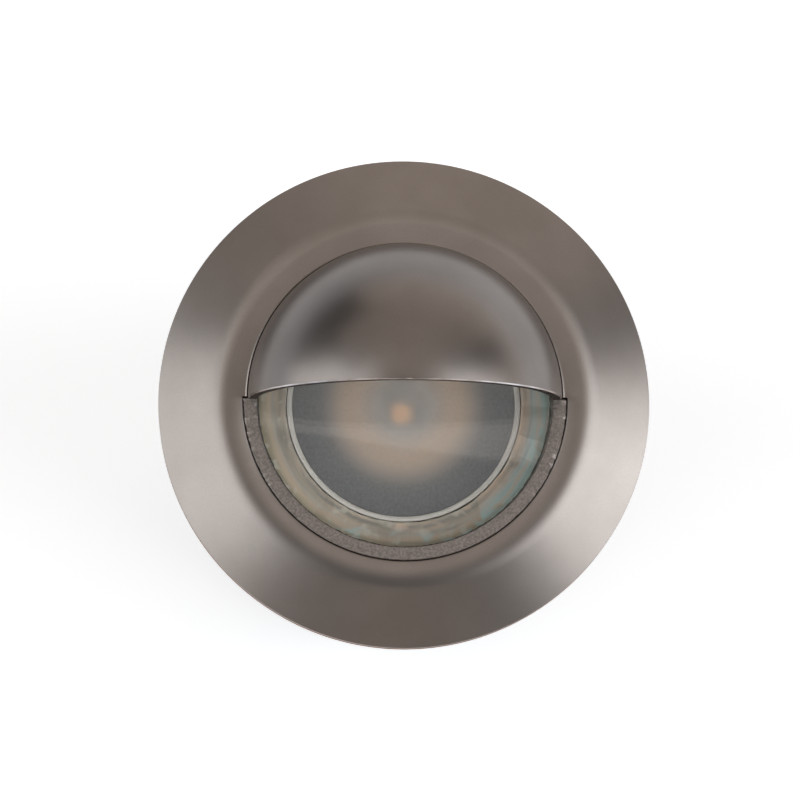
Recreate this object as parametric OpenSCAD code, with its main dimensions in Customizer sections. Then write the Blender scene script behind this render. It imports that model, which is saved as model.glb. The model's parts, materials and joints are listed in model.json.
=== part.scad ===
// In-ground scoop light: a round lamp that drops into a sleeve sunk in the ground.
// Millimetres, +Z up. The origin is on the lamp's axis at ground level. The hood
// stands on the +Y half and its mouth faces -Y.

/* [Scoop] */
// Inner radius of the scoop, from the lamp's axis to its ring and its hood
scoop_bore_r = 21; // [20:0.1:22]
// Wall of the hood
hood_wall = 1.35; // [1.2:0.05:1.65]
// Width of the flat ring round the glass
ring_w = 1.85; // [1.75:0.05:2.4]
// Width of the hidden flange that the trim ring clamps
clamp_w = 2.6; // [2.4:0.1:3.2]
// Thickness of that flange
clamp_t = 1.3; // [1:0.1:1.8]
// Gap between the hood and the trim ring behind it
hood_gap = 0.1; // [0.05:0.05:0.25]

/* [Trim ring] */
// Height of the trim ring's flat land above the ground
trim_h = 6.5; // [6.2:0.1:8.4]
// Height of the upright outer edge
trim_edge_h = 2.2; // [2:0.1:2.6]
// Width of the land, out to where its plane meets the slope
land_w = 3.35; // [3:0.05:4.4]
// Width of the slope, from that corner out to the edge
slope_w = 8.6; // [8:0.1:11]
// Radius that blends the land into the slope
blend_r = 5.8; // [3:0.1:7]
// Chamfer round the mouth of the bore
bore_chamfer = 0.35; // [0.2:0.05:0.6]
// Chamfer round the mouth where it closes in on the hood
hood_chamfer = 0.1; // [0.05:0.05:0.4]
// Thickness of the lip that holds the scoop down
lip_t = 1.4; // [1:0.1:1.8]
// Wall of the skirt that screws on the housing
skirt_wall = 2; // [1.8:0.1:2.4]
// Depth of the skirt below the ground
skirt_depth = 12; // [11:0.5:15]
// Width of the edge that is left outside the recess for the sleeve's flange
rim_w = 1.8; // [1.4:0.1:2.2]

/* [Glass and gaskets] */
// Thickness of the toughened glass
glass_t = 5; // [4:0.5:6]
// Chamfer round the glass
glass_chamfer = 0.4; // [0.2:0.1:0.8]
// Thickness of the gasket on the glass
upper_gasket_t = 0.5; // [0.4:0.1:1]
// Thickness of the gasket under the glass
lower_gasket_t = 1; // [0.6:0.1:1.5]
// Width of the sealant bead on the glass
bead_w = 0.7; // [0.4:0.1:1.2]
// Height of the sealant bead
bead_h = 0.8; // [0.4:0.1:1.4]

/* [Thread of the trim ring] */
// Pitch of the thread, drawn as plain rings
thread_pitch = 1.5; // [1.4:0.1:2]
// Height of the thread
thread_h = 0.5; // [0.4:0.05:0.6]

/* [Optic] */
// Radius of the lens
optic_r = 15.9; // [14.5:0.1:16.6]
// Height of the lens
lens_h = 10; // [9.5:0.5:13]
// Thickness of the lens rim
lens_rim_t = 1.5; // [1:0.1:2]
// Radius of the lens foot
lens_foot_r = 5.4; // [4.6:0.1:6]
// Radius of the cup in the foot, over the light source
lens_cup_r = 3.4; // [2.8:0.1:3.8]
// Depth of that cup
lens_cup_h = 5; // [4:0.5:6]
// Thickness of the frosted disc on the lens
disc_t = 0.5; // [0.3:0.1:0.8]
// Wall of the white lens holder
holder_wall = 0.6; // [0.5:0.1:1]
// Side of the square light source
led_w = 3.5; // [3:0.1:4]
// Thickness of its base
led_t = 0.8; // [0.6:0.1:1]
// Radius of its dome
led_dome_r = 1.4; // [1:0.1:1.4]

/* [Boards] */
// Thickness of the metal-core board that carries the light source
led_board_t = 1.6; // [1:0.1:2]
// Thickness of the thermal pad under it
pad_t = 0.5; // [0.3:0.1:1]
// Gap between the light board and its pocket
board_gap = 0.2; // [0.1:0.05:0.3]
// Distance of the light board's screws from its edge
board_screw_edge = 4.75; // [4.55:0.05:5.35]
// Distance of the wire hole's centre from that edge
wire_hole_edge = 4.55; // [4.35:0.05:4.95]
// Radius of the wire hole
wire_hole_r = 1.9; // [1.7:0.1:2]
// Radius of each wire over its insulation
wire_r = 0.6; // [0.45:0.05:0.7]
// Distance of each wire's solder pad from the middle line
wire_pad_x = 3.2; // [2.8:0.1:3.6]
// Distance of the solder pads inwards from the wire hole
wire_pad_in = 3.2; // [2.8:0.1:3.6]
// Straight length of each wire above its pad
wire_rise = 0.5; // [0.3:0.1:1]
// Thickness of the driver board
driver_board_t = 1.6; // [1.2:0.1:2]
// Height of the standoffs that carry the driver board
standoff_h = 6; // [5:0.5:8]
// Width of the standoffs across their flats
standoff_af = 4.5; // [4:0.1:5]
// Distance of the standoffs from the driver board's edge
standoff_edge = 3.6; // [3.2:0.1:4]

/* [Driver parts] */
// Radius of the two smoothing capacitors
cap_can_r = 4; // [3:0.1:4.2]
// Height of the capacitors
cap_can_h = 11; // [8:0.5:12]
// Gap between the capacitors and the inductor
cap_can_gap = 2; // [1:0.1:2.4]
// Distance of the capacitors in front of the axis
cap_can_y = 0.5; // [0:0.1:0.8]
// Depth of the crimped groove round each capacitor
can_groove = 0.4; // [0.2:0.1:0.6]
// Height of that groove above the board
can_groove_z = 1; // [0.6:0.1:2]
// Side of the square power inductor
inductor_w = 8; // [6:0.5:9]
// Height of the inductor
inductor_h = 5; // [3:0.5:7]
// Distance of the inductor behind the axis
inductor_y = 3.5; // [3:0.1:4]
// Width of the edge round the inductor's winding
winding_edge = 1; // [0.6:0.1:1.4]
// Width and depth of the groove inside that edge
winding_groove = 0.6; // [0.4:0.1:1]
// Length of the input terminal
terminal_l = 10.2; // [8:0.2:11]
// Depth of the input terminal from front to back
terminal_d = 7.6; // [6:0.2:8]
// Height of the input terminal
terminal_h = 9; // [7:0.5:11]
// Distance of the terminal's middle from the driver board's edge
terminal_edge = 10.7; // [10.3:0.1:11.2]
// Radius of the terminal's two wire openings
terminal_bore_r = 1.6; // [1:0.1:1.9]
// Distance of the rectifier and the chip to each side of the axis
side_part_x = 8.5; // [8.3:0.1:9.5]
// Distance of those two in front of the axis
side_part_y = 9; // [8.8:0.1:10]
// Length of the bridge rectifier
rectifier_l = 4.6; // [3.6:0.2:5]
// Depth of the rectifier from front to back
rectifier_d = 6.4; // [5:0.2:7]
// Height of the rectifier
rectifier_h = 2.6; // [1.6:0.2:4]
// Length of the driver chip
chip_l = 4; // [3:0.2:5]
// Depth of the chip from front to back
chip_d = 5; // [4:0.2:6]
// Height of the chip
chip_h = 1.6; // [1:0.2:2.4]

/* [Housing] */
// Wall of the housing round the driver
housing_wall = 5.2; // [5:0.1:5.6]
// Depth of the shoulder below the housing's rim
shoulder_depth = 2.4; // [1.6:0.1:3.2]
// Width of the shoulder round the lens holder
shoulder_w = 1.1; // [0.6:0.1:1.3]
// Thickness of the web between the optic and the driver
web_t = 4.5; // [4:0.5:7]
// Height of the driver cavity
cavity_h = 30; // [29:1:36]
// Thickness of the bottom cap's flange
cap_t = 4; // [3:0.5:5]
// Height of the bottom cap's plug
plug_h = 6; // [5.5:0.5:7]

/* [Screws] */
// Radius of the small machine screws
screw_r = 1.25; // [1:0.05:1.35]
// Radius of their heads
head_r = 2.2; // [2:0.1:2.3]
// Height of their heads
head_h = 1.8; // [1.4:0.1:2.2]
// Depth that the screws reach into metal
screw_grip = 3.5; // [2.5:0.5:3.8]

/* [Cable gland] */
// Radius of the gland's thread in the cap
gland_r = 7.9; // [7.5:0.1:8.4]
// Width of the gland's hexagons across their flats
gland_af = 20; // [19.6:0.2:22]
// Thickness of the gland body's hexagon
gland_hex_t = 4.5; // [3.5:0.5:6]
// Length of the gland's tail
gland_tail_h = 8.5; // [8:0.5:11]
// Wall of the gland's tail round the seal
gland_wall = 2.2; // [1.8:0.1:2.4]
// Radius of the cable that the seal grips
cable_r = 3; // [2.5:0.1:3.4]
// Thickness of the nut's end wall
nut_wall = 2.4; // [2:0.1:3]
// Thickness of the sealing washer under the gland
washer_t = 1.2; // [0.8:0.1:2]

/* [Seal rings] */
// Radius of the grip rings' cord
grip_cord_r = 1.25; // [1.1:0.05:1.3]
// Distance of the upper grip ring below the skirt
grip_top = 8; // [5:0.5:10]
// Height of the lower grip ring above the housing's bottom edge
grip_low = 12; // [9:0.5:13]
// Radius of the small seal rings' cord
seal_cord_r = 0.75; // [0.65:0.05:0.8]

/* [Ground sleeve] */
// Thickness of the sleeve's flange
sleeve_flange_t = 2; // [1.6:0.1:2.2]
// Wall of the sleeve's collar
collar_wall = 2.2; // [1.8:0.1:2.4]
// Room in the collar under the skirt
collar_room = 2; // [1:0.5:3]
// Thickness of the collar's floor
collar_floor_t = 2; // [1.5:0.5:3]
// Wall of the sleeve's body
sleeve_wall = 2.1; // [1.6:0.1:2.6]
// Room for the cable between the gland and the sleeve's foot
cable_room = 14; // [14:1:60]
// Width of the cable slots
slot_w = 13; // [8:0.5:16]
// Height of the cable slots
slot_h = 13; // [8:0.5:14]
// Height of the taper round the sleeve's foot
foot_taper_h = 4; // [2:0.5:6]
// Depth of that taper
foot_taper = 1.2; // [0.6:0.1:1.3]
// Number of outer fins
fin_count = 6; // [4:2:12]
// Thickness of the fins
fin_t = 1.6; // [1.2:0.1:2.4]
// Height of each fin's foot above the sleeve's side
fin_foot_h = 0.5; // [0.3:0.1:1]

/* [Clearances] */
// Gap between the ring and the trim ring's bore
ring_gap = 0.2; // [0.1:0.05:0.3]
// Gap round the clamped flange
seat_gap = 0.35; // [0.2:0.05:0.5]
// Gap round the glass
glass_gap = 0.9; // [0.6:0.1:1.2]
// Gap in the trim ring's thread
thread_gap = 0.1; // [0.05:0.01:0.15]
// Step from the skirt's bore in to the housing's side
body_step = 0.8; // [0.75:0.05:1]
// Gap between the sleeve's bore and the housing
sleeve_gap = 0.9; // [0.8:0.05:1]
// Gap between the skirt and the sleeve's collar
collar_gap = 0.4; // [0.3:0.05:0.8]
// Gap between the sleeve's flange and the recess in the trim ring
flange_gap = 0.4; // [0.3:0.05:0.6]
// Gap that close parts keep to each other
fit_gap = 0.05; // [0.03:0.01:0.08]
// Gap that loose parts keep to each other
loose_gap = 0.3; // [0.2:0.05:0.4]

/* [Hidden] */
$fn = 96;

bronze = [0.45, 0.41, 0.38];
rubber_black = [0.07, 0.07, 0.07];
board_green = [0.1, 0.35, 0.2];

// Radii, from the scoop outwards
hood_r = scoop_bore_r + hood_wall;
ring_r = scoop_bore_r + ring_w;
clamp_r = ring_r + clamp_w;
trim_bore_r = ring_r + ring_gap;
hood_bore_r = hood_r + hood_gap;
hood_bore_clear = asin(loose_gap / hood_r);
land_edge_r = trim_bore_r + land_w;
trim_r = land_edge_r + slope_w;
seat_r = clamp_r + seat_gap;
glass_r = seat_r - glass_gap;
skirt_r = seat_r + skirt_wall;
thread_root_r = seat_r - thread_gap;
housing_r = seat_r - body_step;
cavity_r = housing_r - housing_wall;
collar_bore_r = skirt_r + collar_gap;
collar_r = collar_bore_r + collar_wall;
sleeve_bore_r = housing_r + sleeve_gap;
sleeve_r = sleeve_bore_r + sleeve_wall;
recess_r = trim_r - rim_w;
sleeve_flange_r = recess_r - flange_gap;
gasket_bore_r = scoop_bore_r + loose_gap;
holder_r = optic_r + fit_gap + holder_wall;
pocket_r = holder_r + 2 * loose_gap;
rim_bore_r = pocket_r + shoulder_w;
led_board_r = pocket_r - board_gap;
board_pitch_r = led_board_r - board_screw_edge;
wire_hole_y = led_board_r - wire_hole_edge;
driver_board_r = cavity_r - 2 * loose_gap;
standoff_pitch_r = driver_board_r - standoff_edge;
terminal_y = driver_board_r - terminal_edge;

// Heights, from the land downwards
lip_z = trim_h - lip_t;
clamp_z = lip_z - clamp_t;
glass_top_z = clamp_z - upper_gasket_t;
glass_low_z = glass_top_z - glass_t;
rim_z = glass_low_z - lower_gasket_t;
shoulder_z = rim_z - shoulder_depth;
holder_z = glass_low_z - loose_gap;
disc_z = holder_z - loose_gap;
lens_z = disc_z - disc_t;
lens_low_z = lens_z - lens_h;
led_board_z = lens_low_z - led_t - loose_gap;
pad_z = led_board_z - led_board_t;
web_z = pad_z - pad_t;
web_low_z = web_z - web_t;
driver_board_z = web_low_z - standoff_h;
driver_low_z = driver_board_z - driver_board_t;
housing_low_z = web_low_z - cavity_h;
plug_z = housing_low_z + plug_h;
cap_low_z = housing_low_z - cap_t;
gland_hex_z = cap_low_z - washer_t;
gland_tail_z = gland_hex_z - gland_hex_t;
gland_low_z = gland_tail_z - gland_tail_h;
skirt_z = -skirt_depth;
recess_z = sleeve_flange_t + fit_gap;
trim_seal_z = skirt_z + 2 * seal_cord_r;
neck_z = trim_seal_z + 2 * seal_cord_r;

// The thread's rings, the first one a pitch below the housing's rim
thread_z = rim_z - thread_pitch;
thread_rings = max(1, floor((thread_z - neck_z) / thread_pitch));
thread_root = 0.36 * thread_pitch;
thread_crest = 0.1 * thread_pitch;

// The gland's nut and seal
gland_tail_r = gland_r - 2 * loose_gap;
gland_pocket_r = gland_tail_r - gland_wall;
gland_bore_r = cable_r + 3 * loose_gap;
nut_z = gland_tail_z - loose_gap;
nut_low_z = gland_low_z - nut_wall - loose_gap;
seal_floor_z = gland_hex_z - 0.5 * gland_hex_t;

// The sleeve's heights
collar_z = skirt_z - collar_room;
sleeve_low_z = nut_low_z - cable_room;
fin_low_z = sleeve_low_z + foot_taper_h;

// Where the grip rings and the screws lie
grip_r = sleeve_bore_r - 2 * fit_gap - grip_cord_r;
grip_floor_r = grip_r - grip_cord_r - fit_gap;
grip_heights = [skirt_z - grip_top, housing_low_z + grip_low];
cap_pitch_r = (cavity_r + housing_r) / 2;
screw_angles = [30, 150, 270];
cap_screw_angles = [60, 180, 300];

// The light board's screws stand between the standoffs, so that their holes in the web miss each other
board_screw_turn = -20;
board_screw_angles = [for (a = screw_angles) a + board_screw_turn];
cap_seal_r = cavity_r - fit_gap - seal_cord_r;
cap_seal_z = housing_low_z + plug_h / 2;
screw_hole_r = screw_r + fit_gap;

// The slope of the trim ring
slope_angle = atan2(trim_h - trim_edge_h, slope_w);
blend_x = land_edge_r - blend_r * tan(slope_angle / 2);
blend_z = trim_h - blend_r;

// How far a cutter runs past the face that it cuts, and a joined piece into its neighbour
past = 1;

function arc(x, z, r, from, to, steps) =
    [for (i = [0:steps]) let (a = from + (to - from) * i / steps) [x + r * cos(a), z + r * sin(a)]];

// The thread's outline from the top ring down, each ring widened by the gap
function thread_rings_from(root, height, gap) =
    [for (i = [0:thread_rings - 1], p = [
        [root, thread_root + gap],
        [root + height, thread_crest + gap],
        [root + height, -thread_crest - gap],
        [root, -thread_root - gap]
    ]) [p[0], thread_z - i * thread_pitch + p[1]]];

function reversed(points) = [for (i = [len(points) - 1:-1:0]) points[i]];

module turned(points) {
    rotate_extrude() polygon(points);
}

// A flat washer between two heights
module washer(outer, inner, low, high) {
    turned([[inner, low], [outer, low], [outer, high], [inner, high]]);
}

module seal_ring(radius, cord, height) {
    translate([0, 0, height])
        rotate_extrude()
            translate([radius, 0])
                circle(r = cord);
}

// Copies its children round the axis at each angle
module around(angles, radius) {
    for (a = angles)
        rotate([0, 0, a])
            translate([radius, 0, 0])
                children();
}

// A pan-head screw that points up, with its head under z = 0
module screw_up(length, head = head_h) {
    difference() {
        union() {
            translate([0, 0, -head]) cylinder(h = head, r = head_r);
            cylinder(h = length, r = screw_r);
        }
        translate([0, 0, -head - past]) cylinder(h = past + head / 2, r = 0.55 * head_r, $fn = 6);
    }
}

module ground_sleeve() {
    color([0.1, 0.1, 0.1])
    difference() {
        union() {
            turned([
                [sleeve_bore_r, sleeve_low_z],
                [sleeve_r - foot_taper, sleeve_low_z],
                [sleeve_r, fin_low_z],
                [sleeve_r, collar_z - collar_floor_t],
                [collar_r, collar_z - collar_floor_t],
                [collar_r, 0],
                [sleeve_flange_r, 0],
                [sleeve_flange_r, sleeve_flange_t],
                [collar_bore_r, sleeve_flange_t],
                [collar_bore_r, collar_z],
                [sleeve_bore_r, collar_z]
            ]);
            around([for (i = [0:fin_count - 1]) (i + 0.5) * 360 / fin_count], sleeve_r - past) fin();
        }
        for (side = [-1, 1])
            translate([-slot_w / 2, side > 0 ? 0 : -collar_r, sleeve_low_z - past])
                cube([slot_w, collar_r, slot_h + past]);
    }
}

// A tapered fin from the collar's floor down to the foot's taper, a little inside the collar's side
module fin() {
    length = collar_z - collar_floor_t / 2 - fin_low_z;
    fin_head_h = collar_r - 2 * loose_gap - sleeve_r;
    translate([0, fin_t / 2, fin_low_z])
        rotate([90, 0, 0])
            linear_extrude(fin_t)
                polygon([[0, 0], [past + fin_foot_h, 0], [past + fin_head_h, length], [0, length]]);
}

module grip_rings() {
    color(rubber_black)
    for (z = grip_heights) seal_ring(grip_r, grip_cord_r, z);
}

// The bore closes in on the hood along its back half, so that the hood can't turn
module trim_ring() {
    color(bronze)
    union() {
        turned(concat(
            [[recess_r, 0], [trim_r, 0], [trim_r, trim_edge_h]],
            arc(blend_x, blend_z, blend_r, 90 - slope_angle, 90, 6),
            [
                [trim_bore_r + bore_chamfer, trim_h],
                [trim_bore_r, trim_h - bore_chamfer],
                [trim_bore_r, lip_z],
                [seat_r, lip_z]
            ],
            thread_rings_from(seat_r, thread_h, thread_gap),
            [
                [seat_r, skirt_z],
                [skirt_r, skirt_z],
                [skirt_r, recess_z],
                [recess_r, recess_z]
            ]
        ));
        rotate([0, 0, hood_bore_clear])
            rotate_extrude(angle = 180 - 2 * hood_bore_clear)
                polygon([
                    [hood_bore_r, lip_z],
                    [trim_bore_r + bore_chamfer, lip_z],
                    [trim_bore_r + bore_chamfer, trim_h],
                    [hood_bore_r + hood_chamfer, trim_h],
                    [hood_bore_r, trim_h - hood_chamfer]
                ]);
    }
}

// A clamped flange, a flat ring on its front half, and a quarter of a hollow ball on its
// back half, centred on the flange's top
module scoop_insert() {
    color(bronze)
    union() {
        washer(clamp_r, scoop_bore_r, clamp_z, lip_z);
        rotate([0, 0, 180])
            rotate_extrude(angle = 180)
                polygon([
                    [scoop_bore_r, clamp_z],
                    [ring_r, clamp_z],
                    [ring_r, trim_h],
                    [scoop_bore_r, trim_h]
                ]);
        translate([0, 0, lip_z])
            rotate_extrude(angle = 180)
                intersection() {
                    difference() {
                        circle(r = hood_r);
                        circle(r = scoop_bore_r);
                    }
                    square(hood_r + past);
                }
    }
}

module upper_gasket() {
    color([0.2, 0.2, 0.2])
    washer(glass_r, gasket_bore_r, glass_top_z, clamp_z);
}

module lens_glass() {
    color([0.7, 0.85, 0.8, 0.5])
    turned([
        [0, glass_low_z],
        [glass_r - glass_chamfer, glass_low_z],
        [glass_r, glass_low_z + glass_chamfer],
        [glass_r, glass_top_z - glass_chamfer],
        [glass_r - glass_chamfer, glass_top_z],
        [0, glass_top_z]
    ]);
}

module edge_sealant() {
    bead_r = scoop_bore_r - fit_gap;
    color([0.12, 0.13, 0.13])
    turned([
        [bead_r - bead_w, glass_top_z],
        [bead_r, glass_top_z],
        [bead_r, glass_top_z + bead_h],
        [bead_r - bead_w / 3, glass_top_z + 2 * bead_h / 3]
    ]);
}

module lower_gasket() {
    color([0.72, 0.78, 0.74])
    washer(glass_r, rim_bore_r, rim_z, glass_low_z);
}

module housing_body() {
    color([0.72, 0.55, 0.3])
    difference() {
        turned(concat(
            [[0, housing_low_z], [housing_r, housing_low_z], [housing_r, neck_z], [thread_root_r, neck_z]],
            reversed(thread_rings_from(thread_root_r, thread_h, 0)),
            [[thread_root_r, rim_z], [0, rim_z]]
        ));
        translate([0, 0, shoulder_z]) cylinder(h = rim_z - shoulder_z + past, r = rim_bore_r);
        translate([0, 0, web_z]) cylinder(h = rim_z - web_z, r = pocket_r);
        translate([0, 0, housing_low_z - past]) cylinder(h = cavity_h + past, r = cavity_r);
        washer(housing_r + past, housing_r - seal_cord_r - fit_gap, trim_seal_z - seal_cord_r - fit_gap,
            trim_seal_z + seal_cord_r + fit_gap);
        for (z = grip_heights)
            washer(housing_r + past, grip_floor_r, z - grip_cord_r - fit_gap, z + grip_cord_r + fit_gap);
        translate([0, wire_hole_y, web_low_z - past]) cylinder(h = web_t + 2 * past, r = wire_hole_r);
        around(board_screw_angles, board_pitch_r)
            translate([0, 0, web_z - screw_grip - loose_gap])
                cylinder(h = screw_grip + loose_gap + past, r = screw_hole_r);
        around(screw_angles, standoff_pitch_r)
            translate([0, 0, web_low_z - past])
                cylinder(h = screw_grip + loose_gap + past, r = screw_hole_r);
        around(cap_screw_angles, cap_pitch_r)
            translate([0, 0, housing_low_z - past])
                cylinder(h = 2 * screw_grip + loose_gap + past, r = screw_hole_r);
    }
}

module trim_o_ring() {
    color(rubber_black)
    seal_ring(housing_r, seal_cord_r, trim_seal_z);
}

module diffuser_disc() {
    color([0.85, 0.86, 0.86])
    translate([0, 0, lens_z]) cylinder(h = disc_t, r = optic_r);
}

// A solid lens whose flank swells from the foot up to the rim
module optic_lens() {
    flank_r = optic_r - 3 * loose_gap;
    flank_h = lens_h - lens_rim_t;
    steps = 8;
    swell = 0.62;
    flank = [for (i = [0:steps]) [
        lens_foot_r + (flank_r - lens_foot_r) * pow(i / steps, swell),
        lens_low_z + flank_h * i / steps
    ]];
    color([0.9, 0.92, 0.92])
    turned(concat(
        [[0, lens_low_z + lens_cup_h], [lens_cup_r, lens_low_z + lens_cup_h], [lens_cup_r, lens_low_z]],
        flank,
        [[optic_r, lens_z - lens_rim_t], [optic_r, lens_z], [0, lens_z]]
    ));
}

module optic_holder() {
    ledge_z = lens_z - lens_rim_t;
    ledge_r = optic_r - 2 * loose_gap;
    inner_r = optic_r + fit_gap;
    color("white")
    turned([
        [inner_r, led_board_z],
        [holder_r, led_board_z],
        [holder_r, holder_z],
        [inner_r, holder_z],
        [inner_r, ledge_z],
        [ledge_r, ledge_z],
        [ledge_r, ledge_z - holder_wall],
        [inner_r, ledge_z - 2 * holder_wall]
    ]);
}

module led_package() {
    color([0.95, 0.7, 0.3])
    translate([0, 0, led_board_z])
        union() {
            translate([-led_w / 2, -led_w / 2, 0]) cube([led_w, led_w, led_t]);
            translate([0, 0, led_t])
                rotate_extrude()
                    intersection() {
                        circle(r = led_dome_r);
                        square(led_dome_r + past);
                    }
        }
}

module led_board() {
    color([0.88, 0.88, 0.86])
    difference() {
        translate([0, 0, pad_z]) cylinder(h = led_board_t, r = led_board_r);
        through_board(pad_z, led_board_t);
    }
}

module thermal_pad() {
    color([0.6, 0.65, 0.72])
    difference() {
        translate([0, 0, web_z]) cylinder(h = pad_t, r = led_board_r - loose_gap);
        through_board(web_z, pad_t);
    }
}

// The screw holes and the wire hole through the light board and its pad
module through_board(low, thickness) {
    around(board_screw_angles, board_pitch_r)
        translate([0, 0, low - past])
            cylinder(h = thickness + 2 * past, r = screw_r + loose_gap);
    translate([0, wire_hole_y, low - past]) cylinder(h = thickness + 2 * past, r = wire_hole_r);
}

module board_screws() {
    color([0.75, 0.75, 0.73])
    around(board_screw_angles, board_pitch_r)
        translate([0, 0, led_board_z])
            rotate([180, 0, 0])
                screw_up(led_board_t + pad_t + screw_grip);
}

// A wire from its pad on the light board, over and down through the web to the driver board
module led_wire(side) {
    foot = [side * wire_pad_x, wire_hole_y - wire_pad_in];
    hole = [side * (wire_r + loose_gap / 2), wire_hole_y];
    reach = norm(hole - foot);
    heading = atan2(hole[1] - foot[1], hole[0] - foot[0]);
    translate([foot[0], foot[1], led_board_z])
        rotate([0, 0, heading])
            union() {
                cylinder(h = wire_rise, r = wire_r);
                translate([reach / 2, 0, wire_rise])
                    rotate([90, 0, 0])
                        rotate_extrude(angle = 180)
                            translate([reach / 2, 0])
                                circle(r = wire_r);
                translate([reach, 0, driver_board_z - led_board_z])
                    cylinder(h = led_board_z - driver_board_z + wire_rise, r = wire_r);
            }
}

module led_wire_red() {
    color([0.7, 0.08, 0.06])
    led_wire(1);
}

module led_wire_black() {
    color([0.05, 0.05, 0.05])
    led_wire(-1);
}

module driver_board() {
    color(board_green)
    difference() {
        translate([0, 0, driver_low_z]) cylinder(h = driver_board_t, r = driver_board_r);
        around(screw_angles, standoff_pitch_r)
            translate([0, 0, driver_low_z - past])
                cylinder(h = driver_board_t + 2 * past, r = screw_hole_r);
    }
}

// Hexagonal standoffs, each with a stud up into the web and a tapped hole for the board's screw
module board_standoffs() {
    color([0.72, 0.58, 0.3])
    around(screw_angles, standoff_pitch_r)
        difference() {
            union() {
                translate([0, 0, driver_board_z])
                    cylinder(h = standoff_h, r = standoff_af / sqrt(3), $fn = 6);
                translate([0, 0, web_low_z]) cylinder(h = screw_grip, r = screw_r);
            }
            translate([0, 0, driver_board_z - past])
                cylinder(h = screw_grip + loose_gap + past, r = screw_hole_r);
        }
}

module driver_screws() {
    color([0.75, 0.75, 0.73])
    around(screw_angles, standoff_pitch_r)
        translate([0, 0, driver_low_z])
            screw_up(driver_board_t + screw_grip);
}

// Places a part under the driver board, with its top against the board
module under_board(x, y) {
    translate([x, y, driver_low_z])
        rotate([180, 0, 0])
            children();
}

module block(length, depth, height) {
    translate([-length / 2, -depth / 2, 0]) cube([length, depth, height]);
}

module bridge_rectifier() {
    color([0.12, 0.12, 0.12])
    under_board(-side_part_x, -side_part_y) block(rectifier_l, rectifier_d, rectifier_h);
}

module smoothing_capacitors() {
    color([0.15, 0.18, 0.3])
    for (side = [-1, 1])
        under_board(side * (inductor_w / 2 + cap_can_r + cap_can_gap), -cap_can_y)
            turned([
                [0, 0],
                [cap_can_r, 0],
                [cap_can_r, can_groove_z],
                [cap_can_r - can_groove, can_groove_z + can_groove],
                [cap_can_r, can_groove_z + 2 * can_groove],
                [cap_can_r, cap_can_h],
                [0, cap_can_h]
            ]);
}

module power_inductor() {
    winding_r = inductor_w / 2 - winding_edge;
    color([0.25, 0.25, 0.26])
    under_board(0, inductor_y)
        difference() {
            block(inductor_w, inductor_w, inductor_h);
            washer(winding_r, winding_r - winding_groove, inductor_h - winding_groove, inductor_h + past);
        }
}

module driver_chip() {
    color([0.1, 0.1, 0.1])
    under_board(side_part_x, -side_part_y) block(chip_l, chip_d, chip_h);
}

module input_terminal() {
    color([0.2, 0.5, 0.3])
    under_board(0, -terminal_y)
        difference() {
            block(terminal_l, terminal_d, terminal_h);
            for (side = [-1, 1])
                translate([side * terminal_l / 4, 0, terminal_h / 2])
                    cylinder(h = terminal_h, r = terminal_bore_r);
        }
}

// A flange with a plug that carries a seal ring, bored for the gland
module bottom_cap() {
    plug_r = cavity_r - 2 * fit_gap;
    color([0.72, 0.55, 0.3])
    difference() {
        turned([
            [gland_r + fit_gap, cap_low_z],
            [housing_r, cap_low_z],
            [housing_r, housing_low_z],
            [plug_r, housing_low_z],
            [plug_r, plug_z],
            [gland_r + fit_gap, plug_z]
        ]);
        washer(cavity_r + past, cap_seal_r - seal_cord_r - fit_gap, cap_seal_z - seal_cord_r - fit_gap,
            cap_seal_z + seal_cord_r + fit_gap);
        around(cap_screw_angles, cap_pitch_r)
            translate([0, 0, cap_low_z - past])
                cylinder(h = cap_t + 2 * past, r = screw_hole_r);
    }
}

module cap_o_ring() {
    color(rubber_black)
    seal_ring(cap_seal_r, seal_cord_r, cap_seal_z);
}

module cap_screws() {
    color([0.75, 0.75, 0.73])
    around(cap_screw_angles, cap_pitch_r)
        translate([0, 0, cap_low_z])
            screw_up(cap_t + 2 * screw_grip);
}

module gland_washer() {
    color(rubber_black)
    washer(gland_af / 2 - loose_gap, gland_r + loose_gap, gland_hex_z, cap_low_z);
}

// A hexagon with a threaded neck up into the cap and a tail that holds the seal
module gland_body() {
    color([0.13, 0.13, 0.13])
    difference() {
        union() {
            translate([0, 0, gland_hex_z]) cylinder(h = plug_z - gland_hex_z, r = gland_r);
            translate([0, 0, gland_tail_z]) cylinder(h = gland_hex_t, r = gland_af / sqrt(3), $fn = 6);
            translate([0, 0, gland_low_z]) cylinder(h = gland_tail_h + past, r = gland_tail_r);
        }
        translate([0, 0, gland_low_z - past])
            cylinder(h = plug_z - gland_low_z + 2 * past, r = gland_bore_r);
        translate([0, 0, gland_low_z - past])
            cylinder(h = seal_floor_z - gland_low_z + past, r = gland_pocket_r);
    }
}

module gland_seal() {
    color(rubber_black)
    washer(gland_pocket_r - fit_gap, cable_r, gland_low_z, seal_floor_z);
}

// A domed hexagonal nut round the gland's tail, with an inner end wall that holds the seal
module gland_nut() {
    hexagon_r = gland_af / sqrt(3);
    color([0.13, 0.13, 0.13])
    difference() {
        intersection() {
            translate([0, 0, nut_low_z]) cylinder(h = nut_z - nut_low_z, r = hexagon_r, $fn = 6);
            turned([
                [0, nut_low_z],
                [gland_tail_r, nut_low_z],
                [hexagon_r + past, nut_low_z + 0.6 * gland_tail_h],
                [hexagon_r + past, nut_z + past],
                [0, nut_z + past]
            ]);
        }
        translate([0, 0, gland_low_z - loose_gap])
            cylinder(h = gland_tail_h + past, r = gland_tail_r + 2 * fit_gap);
        translate([0, 0, nut_low_z - past]) cylinder(h = nut_wall + 2 * past, r = gland_bore_r);
    }
}

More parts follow.
